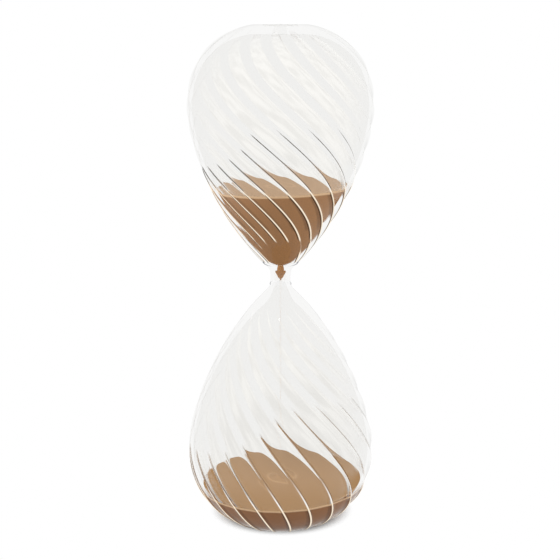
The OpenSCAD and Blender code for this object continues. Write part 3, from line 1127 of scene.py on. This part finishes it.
# %% Build the room
room_strength = 0.55
through_tint = (1.0, 0.992, 0.97)
middle_level = 0.97
rise_level, side_level = 0.14, 0.03
soft_level, blot_level = 0.06, 0.1
low_dark = 0.6
low_start, low_end = -0.9, -0.4

scene = bpy.context.scene
scene.view_settings.view_transform = "Standard"
world = bpy.data.worlds.new("studio")
scene.world = world
sh = Shader(world)


def backdrop(colour, strength):
    return sh.node("ShaderNodeBackground", inputs={"Color": colour, "Strength": strength})


def patches(way, scale, low, high):
    """Soft patches over the room, from -0.5 to 0.5."""
    noise = sh.node("ShaderNodeTexNoise", inputs={"Vector": way, "Scale": scale, "Detail": 1.0})
    return noise.between(low, high) - 0.5


way = sh.node("ShaderNodeTexCoord", output="Generated")
up, across_room = sh.axis("Z", way), sh.axis("X", way)
level = middle_level + up * rise_level - across_room * side_level
level = level + patches(way, 1.6, 0.3, 0.7) * soft_level + patches(way, 32.0, 0.35, 0.65) * blot_level
level = level * (1 - up.between(low_start, low_end, falling=True) * low_dark)
by_glass = sh.ray("Is Glossy Ray").maximum(sh.ray("Is Transmission Ray"))
sky = sh.blend(by_glass, backdrop((1, 1, 1), room_strength), backdrop(through_tint, level))
sky = sh.blend(sh.ray("Is Camera Ray"), sky, backdrop((1, 1, 1), 1.0))
sh.finish(sky, "ShaderNodeOutputWorld")

# %% [markdown]
# ## Floor
# The hourglass stands on a white table that fades into the white behind it. A disc is enough, made
# clear a short way out, so only the shadow and the darker patch under the glass are left, both partly
# painted shadow. The disc is dimmer than white and turns clear along an ellipse that lies a little
# behind the glass, where the lamps throw the shadow, and near the axis it takes a darker tint,
# painted contact shadow. The disc isn't tied to the body of the hourglass, because it isn't part of
# the object.

# %% Disc under the glass
floor_r = 0.6
floor_rings = 24
floor_columns = 96
floor_gap = 0.05 * MM

round_the_floor = np.linspace(0, 2 * np.pi, floor_columns, endpoint=False)
floor_points = np.vstack([ring(floor_r * n / floor_rings, base_z - floor_gap, round_the_floor)
                          for n in range(1, floor_rings + 1)])
floor_faces = [tuple(range(floor_columns))]
for n in range(floor_rings - 1):
    between_rings = band(floor_columns * n, floor_columns, floor_columns * (n + 1), floor_columns)
    floor_faces += [face[::-1] for face in between_rings]
floor = link_mesh("floor", floor_points, floor_faces)
print("floor:", floor_r, "m in radius")

# %% Finish of the floor
shadow_place = (0.5 * MM, 13 * MM)
shadow_squash = 1.1
shadow_fade = (27 * MM, 36.5 * MM)
# The darker tint near the axis is painted contact shadow; the dim table tint is partly painted shadow.
contact_shadow_tint = (0.3, 0.295, 0.29)
table_tint = (0.64, 0.63, 0.62)
contact_shadow_reach = (20 * MM, 28 * MM)
table_glow = 0.05

sh = Shader(bpy.data.materials.new("floor"))
x, y = sh.axis("X"), sh.axis("Y")
out = ((x - shadow_place[0]) ** 2 + ((y - shadow_place[1]) * shadow_squash) ** 2) ** 0.5
past_contact_shadow = ((x * x + y * y) ** 0.5).between(*contact_shadow_reach)
under = sh.node("ShaderNodeBsdfDiffuse", inputs={"Color": contact_shadow_tint})
table = sh.node("ShaderNodeBsdfDiffuse", inputs={"Color": table_tint})
matt = sh.blend(past_contact_shadow, under, table)
by_glass = sh.ray("Is Glossy Ray").maximum(sh.ray("Is Transmission Ray"))
looked_at = sh.ray("Is Camera Ray").maximum(by_glass)
shine = sh.blend(looked_at, sh.glow((0, 0, 0), 0.0), sh.glow((1, 1, 1), table_glow))
surface = sh.node("ShaderNodeAddShader", inputs={0: matt, 1: shine})
floor.data.materials.append(sh.finish(sh.blend(out.between(*shadow_fade), surface, sh.clear((1, 1, 1)))))

# %% [markdown]
# ## Lamps
# Three large soft lamps light the sand and the floor from above and from both sides. Glass would
# show them as bright squares, so it doesn't see them. A fourth lamp, narrow and weak, is there only
# to be seen in the glass, as the small highlights on the shoulders.

# %% Lamps
lamp_distance = 0.9


def softbox(name, azimuth, elevation, size, power):
    """A soft rectangular lamp aimed at the middle of the glass. Azimuth 0 is the front."""
    a, e = math.radians(azimuth), math.radians(elevation)
    target = Vector((0, 0, (base_z + top_z) / 2))
    way = Vector((math.sin(a) * math.cos(e), -math.cos(a) * math.cos(e), math.sin(e)))
    light = bpy.data.lights.new(name, "AREA")
    light.shape = "RECTANGLE"
    light.size, light.size_y = size
    light.energy = power
    lamp = bpy.data.objects.new(name, light)
    lamp.location = target + way * lamp_distance
    lamp.rotation_euler = way.to_track_quat("Z", "Y").to_euler()
    lamp.visible_camera = False
    bpy.context.collection.objects.link(lamp)
    return lamp


top = softbox("top", -12, 66, (0.4, 0.4), 3.6)
left = softbox("left", -70, 30, (0.3, 0.6), 3.2)
right = softbox("right", 60, 25, (0.3, 0.6), 2.2)
glint = softbox("glint", -8, 62, (0.03, 0.16), 0.25)
glint.visible_transmission = False
for lamp in (top, left, right):
    lamp.visible_glossy = lamp.visible_transmission = False
print("lamps:", [(lamp.name, round(lamp.data.energy, 2)) for lamp in (top, left, right, glint)])

# %% [markdown]
# ## Camera
# The camera looks slightly down on the hourglass from its front, with a long lens, so that the
# sand shows a thin ellipse of its surface. A ray may pass many walls of glass on its way through
# both bulbs, so the renderer is allowed enough bounces to reach the room behind.

# %% Camera
wall_bounces = 32
cam_data = bpy.data.cameras.new("camera")
camera = bpy.data.objects.new("camera", cam_data)
bpy.context.collection.objects.link(camera)
cam_data.sensor_width = 36
cam_data.lens = 75.2
cam_data.shift_y = -0.05
cam_data.shift_x = -0.001
camera.location = (0, -0.5426, 0.23996)
camera.rotation_euler = (math.radians(90 - 11.012), 0, 0)
scene.camera = camera
for kind in ("max_bounces", "glossy_bounces", "transmission_bounces", "transparent_max_bounces"):
    setattr(scene.cycles, kind, wall_bounces)
print("camera:", round(-camera.location.y, 3), "m in front of the glass")

# %% [markdown]
